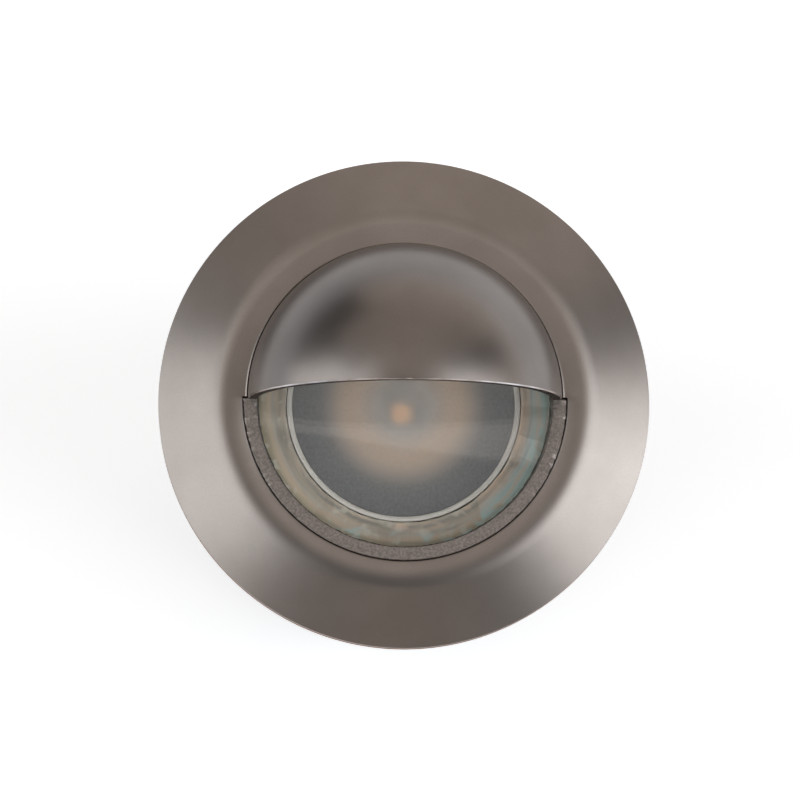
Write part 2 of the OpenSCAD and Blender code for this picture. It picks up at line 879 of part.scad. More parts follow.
ground_sleeve();
grip_rings();
trim_ring();
scoop_insert();
upper_gasket();
lens_glass();
edge_sealant();
lower_gasket();
housing_body();
trim_o_ring();
diffuser_disc();
optic_lens();
optic_holder();
led_package();
led_board();
board_screws();
thermal_pad();
led_wire_red();
led_wire_black();
driver_board();
board_standoffs();
driver_screws();
bridge_rectifier();
smoothing_capacitors();
power_inductor();
driver_chip();
input_terminal();
bottom_cap();
cap_o_ring();
cap_screws();
gland_washer();
gland_body();
gland_seal();
gland_nut();
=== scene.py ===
# In-ground scoop light: the finish of its pieces, and a plain studio round it.
import json
import math

import bmesh
import bpy
from mathutils import Matrix, Vector, noise


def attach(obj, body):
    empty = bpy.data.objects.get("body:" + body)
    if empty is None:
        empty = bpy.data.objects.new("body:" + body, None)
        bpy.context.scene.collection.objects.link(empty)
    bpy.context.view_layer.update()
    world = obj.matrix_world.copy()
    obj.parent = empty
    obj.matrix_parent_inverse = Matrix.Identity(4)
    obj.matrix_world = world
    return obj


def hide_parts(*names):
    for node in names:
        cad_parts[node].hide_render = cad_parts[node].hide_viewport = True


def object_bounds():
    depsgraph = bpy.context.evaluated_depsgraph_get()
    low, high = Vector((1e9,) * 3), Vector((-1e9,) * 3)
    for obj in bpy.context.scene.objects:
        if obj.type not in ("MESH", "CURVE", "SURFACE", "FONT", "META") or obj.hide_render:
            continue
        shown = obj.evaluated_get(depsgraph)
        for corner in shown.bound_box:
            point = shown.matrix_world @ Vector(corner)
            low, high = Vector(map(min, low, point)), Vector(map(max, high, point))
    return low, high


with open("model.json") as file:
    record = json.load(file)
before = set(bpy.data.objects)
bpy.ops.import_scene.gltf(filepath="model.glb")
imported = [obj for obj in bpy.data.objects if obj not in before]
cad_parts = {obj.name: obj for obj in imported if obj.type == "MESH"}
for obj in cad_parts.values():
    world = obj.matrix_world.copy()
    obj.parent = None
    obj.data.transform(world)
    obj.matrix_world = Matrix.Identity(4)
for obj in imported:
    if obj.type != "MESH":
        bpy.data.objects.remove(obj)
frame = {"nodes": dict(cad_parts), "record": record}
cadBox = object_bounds()
mm = 0.001
hair = 1e-7  # points closer than this many metres are one
print("frame loaded:", len(frame["nodes"]), "nodes")


# Meshes

def turned(outline, steps=160, closed=True):
    # an outline of (radius, height) in mm, spun round the lamp's axis
    bm = bmesh.new()
    verts = [bm.verts.new((r * mm, 0, z * mm)) for r, z in outline]
    edges = [bm.edges.new(pair) for pair in zip(verts, verts[1:])]
    if closed:
        edges.append(bm.edges.new((verts[-1], verts[0])))
    bmesh.ops.spin(bm, geom=verts + edges, cent=(0, 0, 0), axis=(0, 0, 1),
                   angle=2 * math.pi, steps=steps, use_merge=True)
    bmesh.ops.remove_doubles(bm, verts=bm.verts, dist=hair)
    bmesh.ops.recalc_face_normals(bm, faces=bm.faces)
    return bm


def partTurned(outline, start, turn, steps):
    # a closed outline spun part of the way round, left open at both ends; angles in degrees
    bm = bmesh.new()
    verts = [bm.verts.new((r * mm, 0, z * mm)) for r, z in outline]
    edges = [bm.edges.new(pair) for pair in zip(verts, verts[1:] + verts[:1])]
    bmesh.ops.rotate(bm, verts=verts, matrix=Matrix.Rotation(math.radians(start), 3, "Z"))
    bmesh.ops.spin(bm, geom=verts + edges, cent=(0, 0, 0), axis=(0, 0, 1),
                   angle=math.radians(turn), steps=steps)
    return bm


def upright(bm, outline, turn):
    # a flat face on an outline of (radius, height), at an angle round the axis
    way = Matrix.Rotation(math.radians(turn), 3, "Z")
    return bm.faces.new([bm.verts.new(way @ Vector((r * mm, 0, z * mm))) for r, z in outline])


def washer(outer, inner, low, high):
    return turned([(inner, low), (outer, low), (outer, high), (inner, high)])


def arc(x, z, r, start, end, steps):
    # points on an arc, angles in degrees
    turns = [math.radians(start + (end - start) * i / steps) for i in range(steps + 1)]
    return [(x + r * math.cos(t), z + r * math.sin(t)) for t in turns]


def addMesh(bm, other):
    # joins a second bmesh into the first
    scratch = bpy.data.meshes.new("scratch")
    other.to_mesh(scratch)
    other.free()
    bm.from_mesh(scratch)
    bpy.data.meshes.remove(scratch)


def newPiece(name, bm, material, body, nodes, rounding=0.0):
    # rounding is the width in mm that its sharp edges lose
    mesh = bpy.data.meshes.new(name)
    bm.to_mesh(mesh)
    bm.free()
    mesh.materials.append(material)
    mesh.shade_smooth()
    piece = bpy.data.objects.new(name, mesh)
    bpy.context.scene.collection.objects.link(piece)
    if rounding:
        edge = piece.modifiers.new("edges", "BEVEL")
        edge.width = rounding * mm
        edge.segments = 2
        edge.limit_method = "ANGLE"
        edge.angle_limit = math.radians(30)
        edge.harden_normals = True
    else:
        mesh.set_sharp_from_angle(angle=math.radians(35))
    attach(piece, body)
    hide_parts(*nodes)
    return piece


# Materials

class Finish:
    # a Principled material with its nodes at hand
    def __init__(self, name, colour, roughness, metallic=0.0):
        self.material = bpy.data.materials.new(name)
        self.material.use_nodes = True
        self.nodes = self.material.node_tree.nodes
        self.links = self.material.node_tree.links
        self.shader = self.nodes["Principled BSDF"]
        self.shader.inputs["Base Color"].default_value = (*colour, 1)
        self.shader.inputs["Roughness"].default_value = roughness
        self.shader.inputs["Metallic"].default_value = metallic
        self.place = self.nodes.new("ShaderNodeTexCoord").outputs["Object"]
        self.bumps = None

    def add(self, kind, **settings):
        node = self.nodes.new(kind)
        for key, value in settings.items():
            setattr(node, key, value)
        return node

    def join(self, start, end):
        self.links.new(start, end)

    def noise(self, size, detail=2.0, stretch=(1, 1, 1), distort=0.0):
        # size is the grain in mm
        source = self.place
        if tuple(stretch) != (1, 1, 1):
            scaled = self.add("ShaderNodeMapping")
            scaled.inputs["Scale"].default_value = stretch
            self.join(source, scaled.inputs["Vector"])
            source = scaled.outputs["Vector"]
        texture = self.add("ShaderNodeTexNoise")
        texture.inputs["Scale"].default_value = 1 / (size * mm)
        texture.inputs["Detail"].default_value = detail
        texture.inputs["Distortion"].default_value = distort
        self.join(source, texture.inputs["Vector"])
        return texture.outputs["Fac"]

    def ramp(self, source, stops, mode="LINEAR"):
        # stops are (position, value or colour)
        node = self.add("ShaderNodeValToRGB")
        node.color_ramp.interpolation = mode
        elements = node.color_ramp.elements
        while len(elements) < len(stops):
            elements.new(0.5)
        for element, (position, value) in zip(elements, stops):
            element.position = position
            element.color = (*value, 1) if isinstance(value, tuple) else (value, value, value, 1)
        self.join(source, node.inputs["Fac"])
        return node.outputs["Color"]

    def math(self, operation, a, b=0.0, clamp=False):
        node = self.add("ShaderNodeMath", operation=operation, use_clamp=clamp)
        for socket, value in zip(node.inputs, (a, b)):
            if isinstance(value, (int, float)):
                socket.default_value = value
            else:
                self.join(value, socket)
        return node.outputs["Value"]

    def spread(self, source, low, high):
        # maps 0..1 to low..high
        return self.math("ADD", self.math("MULTIPLY", source, high - low), low)

    def mix(self, share, a, b):
        # mixes two colours
        node = self.add("ShaderNodeMix", data_type="RGBA")
        for socket, value in zip((node.inputs["Factor"], node.inputs[6], node.inputs[7]), (share, a, b)):
            if isinstance(value, (int, float)):
                socket.default_value = value
            elif isinstance(value, tuple):
                socket.default_value = (*value, 1)
            else:
                self.join(value, socket)
        return node.outputs[2]

    def radius(self):
        # distance from the lamp's axis, in mm
        parts = self.add("ShaderNodeSeparateXYZ")
        self.join(self.place, parts.inputs["Vector"])
        squares = [self.math("MULTIPLY", parts.outputs[k], parts.outputs[k]) for k in "XY"]
        return self.math("MULTIPLY", self.math("SQRT", self.math("ADD", *squares)), 1 / mm)

    def height(self):
        parts = self.add("ShaderNodeSeparateXYZ")
        self.join(self.place, parts.inputs["Vector"])
        return self.math("MULTIPLY", parts.outputs["Z"], 1 / mm)

    def bump(self, source, depth, strength):
        # depth in mm; further bumps ride on the first
        node = self.add("ShaderNodeBump")
        node.inputs["Strength"].default_value = strength
        node.inputs["Distance"].default_value = depth * mm
        self.join(source, node.inputs["Height"])
        if self.bumps:
            self.join(self.bumps, node.inputs["Normal"])
        self.bumps = node.outputs["Normal"]
        self.join(self.bumps, self.shader.inputs["Normal"])

    def colour(self, source):
        self.join(source, self.shader.inputs["Base Color"])

    def rough(self, source):
        self.join(source, self.shader.inputs["Roughness"])

    def clear(self, tint):
        # a shader that lets light straight through
        node = self.add("ShaderNodeBsdfTransparent")
        node.inputs["Color"].default_value = (*tint, 1)
        return node.outputs["BSDF"]

    def either(self, share, first, second):
        # share is how much of the second shader shows
        node = self.add("ShaderNodeMixShader")
        if isinstance(share, float):
            node.inputs["Fac"].default_value = share
        else:
            self.join(share, node.inputs["Fac"])
        self.join(first, node.inputs[1])
        self.join(second, node.inputs[2])
        return node.outputs["Shader"]

    def surface(self, shader):
        self.join(shader, self.nodes["Material Output"].inputs["Surface"])


bronze = {
    "light": (0.375, 0.330, 0.302),
    "dark": (0.335, 0.293, 0.266),
    "pits": (0.24, 0.21, 0.19),
    "cloud": 9.0, "grain": 0.16, "grainDepth": 0.006, "roughness": (0.31, 0.38),
    "hoodShare": 0.76,  # the hood's coat is darker than the bezel's
    "wall": (0.28, 0.115, 0.05),  # painted shade: the upright edge under the slope is darkened to a coppery brown towards its foot
    "wallTop": 2.1, "wallRadius": 34.75,
}


def bronzedSteel(name="bronzed steel", share=1.0):
    # share dims the whole coat
    light, dark, pits = (tuple(c * share for c in bronze[k]) for k in ("light", "dark", "pits"))
    f = Finish(name, light, 0.34, 1.0)
    cloud = f.noise(bronze["cloud"], 3.0)
    fine = f.noise(bronze["grain"], 2.0)
    tone = f.mix(f.ramp(cloud, [(0.35, 0.0), (0.65, 1.0)]), light, dark)
    tone = f.mix(f.ramp(fine, [(0.3, 0.0), (0.7, 0.22)]), tone, pits)
    # painted shade on the upright edge under the slope: coppery brown and less metallic, darkest at its
    # foot
    low = f.ramp(f.math("DIVIDE", f.height(), bronze["wallTop"]), [(0.4, 1.0), (1.0, 0.0)])
    out = f.math("GREATER_THAN", f.radius(), bronze["wallRadius"])
    wall = f.math("MULTIPLY", low, out)
    f.colour(f.mix(wall, tone, bronze["wall"]))
    f.join(f.spread(wall, 1.0, 0.0), f.shader.inputs["Metallic"])
    f.shader.inputs["Specular IOR Level"].default_value = 0.0
    f.rough(f.spread(fine, *bronze["roughness"]))
    f.bump(fine, bronze["grainDepth"], 0.5)
    return f.material


def sandblastedSteel():
    # the flat ring of the scoop, blasted matt
    f = Finish("sandblasted steel", bronze["light"], 0.5, 1.0)
    coarse = f.noise(0.32, 3.0)
    fine = f.noise(0.12, 2.0)
    tone = f.mix(f.ramp(coarse, [(0.35, 0.0), (0.65, 1.0)]), (0.37, 0.32, 0.29), (0.23, 0.20, 0.18))
    f.colour(tone)
    f.rough(f.spread(coarse, 0.42, 0.62))
    f.bump(coarse, 0.03, 0.6)
    f.bump(fine, 0.01, 0.5)
    return f.material


def polishedSteel():
    # the lip's edge, bright where the bronzing has worn through
    f = Finish("polished steel", (0.62, 0.57, 0.54), 0.2, 1.0)
    worn = f.noise(2.6, 2.0)
    f.colour(f.mix(f.ramp(worn, [(0.35, 0.0), (0.62, 1.0)]), (0.55, 0.48, 0.45), (0.86, 0.80, 0.78)))
    f.rough(f.spread(worn, 0.30, 0.18))
    return f.material


def brightSteel():
    # the hood's inside, left bright so that it throws the light forward
    f = Finish("bright steel", (0.46, 0.43, 0.40), 0.36, 1.0)
    brushed = f.noise(0.3, 3.0, (1, 0.15, 1))
    f.colour(f.mix(f.ramp(brushed, [(0.3, 0.0), (0.7, 1.0)]), (0.42, 0.39, 0.36), (0.52, 0.48, 0.45)))
    f.rough(f.spread(brushed, 0.30, 0.44))
    f.bump(brushed, 0.006, 0.5)
    return f.material


def cutSteel():
    # the sawn face round the hood's mouth, unpolished; its dark brown is painted shade, for the dark that
    # it mirrors
    f = Finish("cut steel", (0.15, 0.105, 0.085), 0.45, 1.0)
    fine = f.noise(0.25, 3.0, (1, 1, 0.2))
    f.colour(f.mix(f.ramp(fine, [(0.3, 0.0), (0.7, 1.0)]), (0.055, 0.040, 0.034), (0.09, 0.066, 0.056)))
    f.bump(fine, 0.01, 0.5)
    return f.material


def turnedBrass():
    # fine rings left by the lathe, and a dull cast in broad patches
    f = Finish("turned brass", (0.72, 0.50, 0.25), 0.3, 1.0)
    patches = f.noise(7.0, 4.0)
    rings = f.noise(0.35, 2.0, (0.02, 0.02, 1))
    tone = f.mix(f.ramp(patches, [(0.35, 0.0), (0.7, 1.0)]), (0.72, 0.51, 0.265), (0.63, 0.435, 0.22))
    f.colour(tone)
    f.rough(f.spread(patches, 0.24, 0.42))
    f.bump(rings, 0.012, 0.5)
    return f.material


def toughenedGlass():
    f = Finish("toughened glass", (0.985, 0.99, 0.985), 0.02)
    f.shader.inputs["Transmission Weight"].default_value = 1.0
    f.shader.inputs["IOR"].default_value = 1.5
    smear = f.noise(6.0, 3.0)
    f.rough(f.spread(smear, 0.0, 0.03))
    lampRay = f.add("ShaderNodeLightPath").outputs["Is Shadow Ray"]
    f.surface(f.either(lampRay, f.shader.outputs["BSDF"], f.clear((0.97, 0.965, 0.95))))
    return f.material


def clearAcrylic():
    f = Finish("clear acrylic", (0.93, 0.95, 0.95), 0.08)
    haze = f.noise(3.0, 3.0)
    f.rough(f.spread(haze, 0.04, 0.14))
    f.surface(f.either(0.78, f.shader.outputs["BSDF"], f.clear((0.92, 0.94, 0.94))))
    return f.material


disc = {
    "radius": 15.9, "low": -2.8, "top": -2.3, "rounding": 0.08,
    "window": (2.2, 5.4),  # radii between which the clearer middle turns frosted
    "clearShare": 0.56,
    "blur": 0.42,
    "paintedGlow": 0.5,  # painted glow: the disc gives off its own colours as light, so it is never quite dark under the hood
    "widest": 16.0,  # the radius at which the halo's colours end
    # colours outwards: the warm ring is painted reflection of the LED's orange in the lens's flank;
    # farther out, the disc's own grey
    "halo": [(1.0, (0.35, 0.308, 0.275)), (4.2, (0.302, 0.276, 0.255)), (6.4, (0.352, 0.263, 0.2)),
             (8.7, (0.326, 0.247, 0.191)), (10.3, (0.209, 0.18, 0.155)), (11.8, (0.107, 0.105, 0.102)),
             (14.0, (0.098, 0.097, 0.097)), (15.9, (0.09, 0.089, 0.088))],
}


def frostedAcrylic():
    d = disc
    f = Finish("frosted acrylic", (0.4, 0.4, 0.4), 0.6)
    share = f.math("DIVIDE", f.radius(), d["widest"])
    # painted reflection: the LED's warm halo is part of the disc's colour
    tone = f.ramp(share, [(r / d["widest"], c) for r, c in d["halo"]], "B_SPLINE")
    mottle = f.noise(0.45, 3.0)
    tone = f.mix(f.ramp(mottle, [(0.3, 0.0), (0.7, 0.3)]), tone, (0.20, 0.192, 0.188))
    f.colour(tone)
    # painted glow: the disc's colours are given off as light
    f.join(tone, f.shader.inputs["Emission Color"])
    f.shader.inputs["Emission Strength"].default_value = d["paintedGlow"]
    f.bump(f.noise(0.35, 2.0), 0.03, 0.5)
    low, high = (r / d["widest"] for r in d["window"])
    middle = f.ramp(share, [(low, d["clearShare"]), (high, 0.0)], "EASE")
    through = f.add("ShaderNodeBsdfRefraction")
    through.inputs["Roughness"].default_value = d["blur"]
    through.inputs["IOR"].default_value = 1.3
    seen = f.either(middle, f.shader.outputs["BSDF"], through.outputs["BSDF"])
    lampRay = f.add("ShaderNodeLightPath").outputs["Is Shadow Ray"]
    f.surface(f.either(lampRay, seen, f.clear((0.8, 0.8, 0.8))))  # light still reaches what lies below
    return f.material


bed = {
    # its inner edge has corners so far out from the mouth and down from the top
    "mouth": 16.77, "low": -2.6, "undercut": 0.9, "edge": [(0.2, 0), (0, 0.15), (0.05, 0.4), (0.5, 0.6)],
    "steps": 360,
    "loose": 0.7, "wave": 2.6, "wander": 0.25,  # the edge wanders: over which width, how long, how far
    # colours from the inner radius outwards, in tan and where the silicone is thin; the thin colours are
    # partly painted: the green of the glass edge's reflection, and lighter against the hood's shade on
    # the right
    "inner": 16.7, "outer": 21.0,
    "tan": [(16.7, (0.50, 0.44, 0.38)), (17.1, (0.66, 0.57, 0.47)), (17.5, (0.44, 0.39, 0.33)),
            (18.0, (0.56, 0.48, 0.38)), (18.7, (0.68, 0.60, 0.50)), (19.4, (0.76, 0.61, 0.46)),
            (20.2, (0.58, 0.49, 0.34)), (20.9, (0.34, 0.28, 0.19))],
    "thin": [(16.7, (0.56, 0.48, 0.41)), (17.1, (0.86, 0.67, 0.51)), (17.6, (0.80, 0.62, 0.48)),
             (18.1, (0.74, 0.66, 0.57)), (18.7, (0.66, 0.74, 0.70)), (19.4, (0.67, 0.81, 0.77)),
             (20.2, (0.59, 0.73, 0.67)), (20.9, (0.42, 0.50, 0.42))],
    "lean": 0.2,  # more of the thin silicone's colours, with their painted light, lie toward +X
    "streak": 0.9, "streaksRound": 2.4,  # their width, and how often they break off round the lamp
    "stray": 0.3,  # how far the colours stray in and out
}


def paleSilicone():
    # cured silicone under the glass: tan streaks round the lamp, greener where it is thin, with painted
    # reflection and painted light in that green
    b = bed
    f = Finish("pale silicone", (0.5, 0.54, 0.5), 0.35)
    parts = f.add("ShaderNodeSeparateXYZ")
    f.join(f.place, parts.inputs["Vector"])
    out = f.radius()
    way = [f.math("DIVIDE", f.math("MULTIPLY", parts.outputs[k], 1 / mm), out) for k in "XY"]
    cells = [f.math("MULTIPLY", r, b["streaksRound"]) for r in way]
    cells.append(f.math("MULTIPLY", out, 1 / b["streak"]))
    around = f.add("ShaderNodeCombineXYZ")
    for socket, value in zip(around.inputs, cells):
        f.join(value, socket)
    streaks = f.add("ShaderNodeTexNoise")
    streaks.inputs["Scale"].default_value = 1.0
    streaks.inputs["Detail"].default_value = 2.0
    f.join(around.outputs["Vector"], streaks.inputs["Vector"])
    width = b["outer"] - b["inner"]
    stray = f.spread(f.noise(2.6, 3.0), -b["stray"], b["stray"])
    inwards = f.math("SUBTRACT", f.math("ADD", out, stray), b["inner"])
    share = f.math("MULTIPLY", inwards, 1 / width, clamp=True)
    tan, thin = (f.ramp(share, [((r - b["inner"]) / width, c) for r, c in b[k]])
                 for k in ("tan", "thin"))
    # painted light: the lighter, greener thin colours are pushed toward +X
    lean = f.math("MULTIPLY", way[0], b["lean"])
    patches = f.ramp(f.math("ADD", f.noise(3.4, 2.0, distort=0.6), lean), [(0.52, 0.0), (0.64, 1.0)])
    tone = f.mix(patches, tan, thin)
    tone = f.mix(f.ramp(streaks.outputs["Fac"], [(0.34, 0.35), (0.5, 0.0)]), tone, (0.30, 0.26, 0.22))
    tone = f.mix(f.ramp(streaks.outputs["Fac"], [(0.53, 0.0), (0.68, 0.55)]), tone, (0.84, 0.64, 0.47))
    blobs = f.noise(1.6, 1.0)
    tone = f.mix(f.ramp(blobs, [(0.58, 0.0), (0.70, 0.7)]), tone, (0.80, 0.74, 0.63))
    f.colour(tone)
    f.bump(blobs, 0.12, 0.5)
    return f.material


def moulded(name, colour, roughness=0.5, grain=0.25, depth=0.01, wear=0.12, patch=4.0):
    # plastic, rubber or resin: a moulded skin with a little dust and shine
    f = Finish(name, colour, roughness)
    patches = f.noise(patch, 4.0)
    fine = f.noise(grain, 2.0)
    dust, smoother, rougher = 0.06, 0.07, 0.1
    lighter = tuple(min(1.0, c * (1 + wear) + dust * wear) for c in colour)
    darker = tuple(c * (1 - wear) for c in colour)
    f.colour(f.mix(f.ramp(patches, [(0.3, 0.0), (0.7, 1.0)]), darker, lighter))
    f.rough(f.spread(fine, roughness - smoother, min(1.0, roughness + rougher)))
    f.bump(fine, depth, 0.5)
    return f


def phosphor():
    # painted glow: the phosphor gives off light of its own, though the lamp is off
    f = moulded("phosphor", (0.93, 0.52, 0.16), 0.25, 0.12, 0.004, 0.06, 1.0)
    f.shader.inputs["Coat Weight"].default_value = 0.5
    f.shader.inputs["Emission Color"].default_value = (1.0, 0.42, 0.12, 1)
    f.shader.inputs["Emission Strength"].default_value = 1.0
    return f.material


def machineSteel():
    f = Finish("screw steel", (0.62, 0.61, 0.59), 0.28, 1.0)
    fine = f.noise(0.3, 3.0)
    f.colour(f.mix(f.ramp(fine, [(0.3, 0.0), (0.7, 1.0)]), (0.66, 0.65, 0.63), (0.5, 0.49, 0.47)))
    f.rough(f.spread(fine, 0.2, 0.36))
    f.bump(fine, 0.006, 0.4)
    return f.material


def solderMask(name, colour, pads):
    # a board's skin: copper tracks show as a slightly lighter relief
    tracksPerMetre = 420
    f = Finish(name, colour, 0.3)
    tracks = f.add("ShaderNodeTexBrick")
    tracks.inputs["Scale"].default_value = tracksPerMetre
    tracks.inputs["Mortar Size"].default_value = 0.06
    f.join(f.place, tracks.inputs["Vector"])
    f.colour(f.mix(tracks.outputs["Fac"], colour, pads))
    fine = f.noise(0.3, 2.0)
    f.rough(f.spread(fine, 0.22, 0.36))
    f.bump(tracks.outputs["Fac"], 0.03, 0.4)
    f.bump(fine, 0.005, 0.3)
    return f.material


finishes = {
    "bronzed_steel": bronzedSteel(),
    "turned_brass": turnedBrass(),
    "toughened_glass": toughenedGlass(),
    "clear_acrylic": clearAcrylic(),
    "frosted_acrylic": frostedAcrylic(),
    "white_plastic": moulded("white plastic", (0.91, 0.845, 0.765), 0.4, 0.3, 0.006, 0.03).material,
    "phosphor": phosphor(),
    "white_board": solderMask("white board", (0.74, 0.74, 0.71), (0.66, 0.66, 0.63)),
    "green_board": solderMask("green board", (0.02, 0.13, 0.055), (0.035, 0.19, 0.08)),
    "screw_steel": machineSteel(),
    "pad_silicone": moulded("pad silicone", (0.38, 0.43, 0.5), 0.7, 0.4, 0.02).material,
    "grey_silicone": moulded("grey silicone", (0.035, 0.035, 0.035), 0.55, 0.3, 0.01, 0.25).material,
    "pale_silicone": paleSilicone(),
    "dark_sealant": moulded("dark sealant", (0.085, 0.078, 0.068), 0.22, 0.5, 0.03, 0.3, 1.5).material,
    "black_rubber": moulded("black rubber", (0.018, 0.018, 0.018), 0.6, 0.25, 0.01, 0.3).material,
    "sleeve_plastic": moulded("sleeve plastic", (0.028, 0.028, 0.030), 0.5, 0.45, 0.03,
                              patch=14.0).material,
    "gland_plastic": moulded("gland plastic", (0.035, 0.035, 0.036), 0.38, 0.3, 0.01, 0.25).material,
    "red_insulation": moulded("red insulation", (0.42, 0.012, 0.008), 0.4, 0.3, 0.006).material,
    "black_insulation": moulded("black insulation", (0.015, 0.015, 0.015), 0.4, 0.3, 0.006, 0.3).material,
    "black_resin": moulded("black resin", (0.022, 0.022, 0.023), 0.5, 0.15, 0.008, 0.3, 1.0).material,
    "can_sleeve": moulded("can sleeve", (0.012, 0.017, 0.06), 0.3, 0.4, 0.006, 0.2).material,
    "ferrite": moulded("ferrite", (0.04, 0.04, 0.044), 0.65, 0.12, 0.02, 0.3, 1.0).material,
    "green_plastic": moulded("green plastic", (0.014, 0.16, 0.04), 0.42, 0.3, 0.01).material,
}
blasted = sandblastedSteel()
polished = polishedSteel()
cutFace = cutSteel()
hoodCoat = bronzedSteel("bronzed hood", bronze["hoodShare"])
hoodInside = brightSteel()
for part in frame["record"]["subparts"]:
    node = frame["nodes"][part["node"]]
    node.data.materials.clear()
    node.data.materials.append(finishes[part["material_slot"]])
print("materials:", len(finishes), "on the solids and 5 of the scoop's own")

# Trim ring

trim = {
    "radius": 35.0, "edge": 2.2, "height": 6.5,
    "landEdge": 26.4, "blend": 5.8,  # the flat land turns into the slope in a wide radius
    "bore": 23.05, "bevel": (0.24, 0.10), "seat": 25.8, "lip": 5.1,
    "hoodBore": 22.37, "hoodClear": 0.77,  # the bore closes in on the hood, from this angle on each side
    "ridge": (0.26, 0.07, 0.12),  # the edge stands a little proud round the hood: foot, crown, rise
    "skirt": 27.8, "skirtLow": -12.0, "recess": 33.2, "recessTop": 2.05,
    "threadTop": -4.2, "threadRings": 3, "pitch": 1.5, "threadDepth": 0.5, "root": 0.64, "crest": 0.25,
    "steps": 108, "blendSteps": 12, "rounding": 0.06,
}


def boreAndSkirt():
    # the hidden part of the outline, from the seat down the thread and out to the recess
    t = trim
    out = t["seat"] + t["threadDepth"]
    inside = [(t["seat"], t["lip"])]
    for i in range(t["threadRings"]):
        z = t["threadTop"] - i * t["pitch"]
        inside += [(t["seat"], z + t["root"]), (out, z + t["crest"]),
                   (out, z - t["crest"]), (t["seat"], z - t["root"])]
    inside += [(t["seat"], t["skirtLow"]), (t["skirt"], t["skirtLow"]),
               (t["skirt"], t["recessTop"]), (t["recess"], t["recessTop"])]
    return inside


def trimRing():
    t = trim
    top, clear = t["height"], t["hoodClear"]
    slope = math.atan2(top - t["edge"], t["radius"] - t["landEdge"])
    blendX = t["landEdge"] - t["blend"] * math.tan(slope / 2)
    outside = [(t["recess"], 0), (t["radius"], 0), (t["radius"], t["edge"])]
    outside += arc(blendX, top - t["blend"], t["blend"], 90 - math.degrees(slope), 90, t["blendSteps"])
    inside = boreAndSkirt()
    wide, deep = t["bevel"]
    mouth = [(t["bore"] + wide, top), (t["bore"], top - deep), (t["bore"], t["lip"])]
    foot, crown, rise = t["ridge"]
    tight = [(t["hoodBore"] + foot, top), (t["hoodBore"] + crown, top + rise),
             (t["hoodBore"], top), (t["hoodBore"], t["lip"])]
    front = outside + mouth + inside
    behind = outside + mouth[:1] + tight + mouth[2:] + inside
    bm = partTurned(front, 180 - clear, 180 + 2 * clear, t["steps"] + 1)
    addMesh(bm, partTurned(behind, clear, 180 - 2 * clear, t["steps"] - 1))
    for turn in (clear, 180 - clear):
        upright(bm, mouth + tight[::-1], turn)
    bmesh.ops.remove_doubles(bm, verts=bm.verts, dist=10 * hair)
    bmesh.ops.recalc_face_normals(bm, faces=bm.faces)
    newPiece("trimRing", bm, finishes["bronzed_steel"], "lamp",
             ["trim_ring"], t["rounding"])


trimRing()
print("bezel made")

# Scoop

scoop = {
    "bore": 21.0, "ring": 22.91, "clamp": 25.45, "clampLow": 3.8, "lip": 5.1, "height": 6.5, "edge": 0.1,
    "ringSteps": 480,
    "ragged": 0.11, "calm": 0.2,  # depth of the blasted edges, and its share where they are calmest
    "jags": (0.25, 0.6), "coarseJag": 0.5,  # lengths of the jags, and the share of the long ones
    "hood": 22.35, "hoodSteps": 44, "lipChamfer": 0.17, "sharp": 0.8,  # sharp is an angle in radians
}


def halfTurn(face, bm, steps):
    # spins a face from +X over the back to -X, or from -X over the front to +X, as a closed solid
    bmesh.ops.spin(bm, geom=[face, *face.edges, *face.verts], cent=(0, 0, 0), axis=(0, 0, 1),
                   angle=math.pi, steps=steps)
    bmesh.ops.remove_doubles(bm, verts=bm.verts, dist=hair)
    bmesh.ops.recalc_face_normals(bm, faces=bm.faces)


def scoopRing():
    # the blasted half ring in front of the glass, on the flange that the bezel clamps
    s = scoop
    bm = bmesh.new()
    face = upright(bm, [
        (s["bore"], s["clampLow"]), (s["ring"], s["clampLow"]), (s["ring"], s["height"] - s["edge"]),
        (s["ring"] - s["edge"], s["height"]), ((s["ring"] + s["bore"]) / 2, s["height"]),
        (s["bore"] + s["edge"], s["height"]), (s["bore"], s["height"] - s["edge"]),
    ], 180)
    halfTurn(face, bm, s["ringSteps"])
    middle = (s["ring"] + s["bore"]) / 2 * mm
    upperEdge = (s["height"] - 2 * s["edge"]) * mm
    fine, coarse = s["jags"]
    for v in bm.verts:  # the blasted edges are ragged, most of all at the sides
        flat = Vector((v.co.x, v.co.y, 0))
        if v.co.z < upperEdge or abs(flat.length - middle) < s["edge"] * mm:
            continue
        share = s["calm"] + (1 - s["calm"]) * (flat.x / flat.length) ** 4
        jag = noise.noise(v.co / (fine * mm)) + s["coarseJag"] * noise.noise(v.co / (coarse * mm))
        bite = abs(jag) * share * s["ragged"] * mm
        v.co += flat.normalized() * bite * (1 if flat.length < middle else -1)
        v.co.z -= bite
    addMesh(bm, washer(s["clamp"], s["bore"], s["clampLow"], s["lip"]))
    newPiece("scoopRing", bm, blasted, "lamp", ["scoop_insert"])


